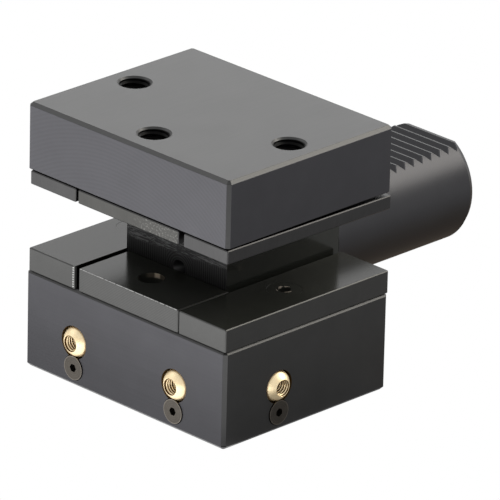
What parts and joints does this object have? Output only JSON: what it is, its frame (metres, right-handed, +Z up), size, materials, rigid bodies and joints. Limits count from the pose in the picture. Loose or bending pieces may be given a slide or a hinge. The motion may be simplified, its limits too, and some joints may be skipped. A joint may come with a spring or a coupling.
{
  "type": "turret tool holder",
  "caption": "Turret tool holder with a serrated cylindrical shank, clamp plates over support plates on the left, front and right, and brass coolant nozzle balls in the lower block.",
  "frame": {"origin": "where the shank's axis meets the contact face at the back of the body", "axes": "+Y out of the body along the shank, +X to the right seen from the front, +Z up"},
  "size_m": [0.0932, 0.1386, 0.09],
  "materials": {
    "body_steel": "satin black oxide",
    "clamp_plate_steel": "milled black oxide",
    "support_plate_steel": "ground black oxide",
    "screw_steel": "black oxide",
    "brass": "polished",
    "seal_rubber": "matt"
  },
  "bodies": {
    "holder": {"holder_body": "body_steel", "shank_seal": "seal_rubber", "coolant_inlet_seal": "seal_rubber", "channel_plug": "screw_steel", "support_plate_left": "support_plate_steel", "support_screw_left": "screw_steel", "support_plate_front": "support_plate_steel", "support_screw_front": "screw_steel", "support_plate_right": "support_plate_steel", "support_screw_right": "screw_steel", "nozzle_seal_front_left": "seal_rubber", "nozzle_seal_front_right": "seal_rubber", "nozzle_seal_side_left": "seal_rubber", "nozzle_seal_side_right": "seal_rubber"},
    "clamp_left": {"clamp_plate_left": "clamp_plate_steel"},
    "clamp_screw_left": {"clamp_screw_left": "screw_steel", "clamp_retainer_left": "screw_steel"},
    "clamp_front": {"clamp_plate_front": "clamp_plate_steel"},
    "clamp_screw_front": {"clamp_screw_front": "screw_steel", "clamp_retainer_front": "screw_steel"},
    "clamp_right": {"clamp_plate_right": "clamp_plate_steel"},
    "clamp_screw_right": {"clamp_screw_right": "screw_steel", "clamp_retainer_right": "screw_steel"},
    "nozzle_front_left": {"nozzle_ball_front_left": "brass"},
    "lock_screw_front_left": {"nozzle_lock_screw_front_left": "screw_steel"},
    "nozzle_front_right": {"nozzle_ball_front_right": "brass"},
    "lock_screw_front_right": {"nozzle_lock_screw_front_right": "screw_steel"},
    "nozzle_side_left": {"nozzle_ball_side_left": "brass"},
    "lock_screw_side_left": {"nozzle_lock_screw_side_left": "screw_steel"},
    "nozzle_side_right": {"nozzle_ball_side_right": "brass"},
    "lock_screw_side_right": {"nozzle_lock_screw_side_right": "screw_steel"}
  },
  "joints": [
    {"name": "clamp_left_travel", "type": "slide", "parent": "holder", "child": "clamp_left", "axis": [0, 0, -1], "range_m": [0, 0.0055]},
    {"name": "clamp_screw_left_turn", "type": "hinge", "parent": "clamp_left", "child": "clamp_screw_left", "pos_m": [-0.0345, -0.0356, 0.02635], "axis": [0, 0, -1], "range_deg": [0, 1321]},
    {"name": "clamp_front_travel", "type": "slide", "parent": "holder", "child": "clamp_front", "axis": [0, 0, -1], "range_m": [0, 0.0055]},
    {"name": "clamp_screw_front_turn", "type": "hinge", "parent": "clamp_front", "child": "clamp_screw_front", "pos_m": [0.0006, -0.061, 0.02635], "axis": [0, 0, -1], "range_deg": [0, 1321]},
    {"name": "clamp_right_travel", "type": "slide", "parent": "holder", "child": "clamp_right", "axis": [0, 0, -1], "range_m": [0, 0.0051]},
    {"name": "clamp_screw_right_turn", "type": "hinge", "parent": "clamp_right", "child": "clamp_screw_right", "pos_m": [0.0345, -0.0356, 0.02635], "axis": [0, 0, -1], "range_deg": [0, 1225]},
    {"name": "nozzle_front_left_swing", "type": "hinge", "parent": "holder", "child": "nozzle_front_left", "pos_m": [-0.0226, -0.0689, -0.0259], "axis": [0, 0, 1], "range_deg": [-15, 15]},
    {"name": "lock_screw_front_left_turn", "type": "hinge", "parent": "holder", "child": "lock_screw_front_left", "pos_m": [-0.0226, -0.072, -0.0346], "axis": [0, -1, 0], "range_deg": [0, 90]},
    {"name": "nozzle_front_right_swing", "type": "hinge", "parent": "holder", "child": "nozzle_front_right", "pos_m": [0.0226, -0.0689, -0.0259], "axis": [0, 0, 1], "range_deg": [-15, 15]},
    {"name": "lock_screw_front_right_turn", "type": "hinge", "parent": "holder", "child": "lock_screw_front_right", "pos_m": [0.0226, -0.072, -0.0346], "axis": [0, -1, 0], "range_deg": [0, 90]},
    {"name": "nozzle_side_left_swing", "type": "hinge", "parent": "holder", "child": "nozzle_side_left", "pos_m": [-0.0419, -0.048, -0.0259], "axis": [0, 0, 1], "range_deg": [-15, 15]},
    {"name": "lock_screw_side_left_turn", "type": "hinge", "parent": "holder", "child": "lock_screw_side_left", "pos_m": [-0.045, -0.048, -0.0346], "axis": [-1, 0, 0], "range_deg": [0, 90]},
    {"name": "nozzle_side_right_swing", "type": "hinge", "parent": "holder", "child": "nozzle_side_right", "pos_m": [0.0419, -0.048, -0.0259], "axis": [0, 0, 1], "range_deg": [-15, 15]},
    {"name": "lock_screw_side_right_turn", "type": "hinge", "parent": "holder", "child": "lock_screw_side_right", "pos_m": [0.045, -0.048, -0.0346], "axis": [1, 0, 0], "range_deg": [0, 90]}
  ],
  "couplings": [
    {"joint": "clamp_screw_left_turn", "follows": "clamp_left_travel", "rad_per_m": 4188.8},
    {"joint": "clamp_screw_front_turn", "follows": "clamp_front_travel", "rad_per_m": 4188.8},
    {"joint": "clamp_screw_right_turn", "follows": "clamp_right_travel", "rad_per_m": 4188.8}
  ]
}
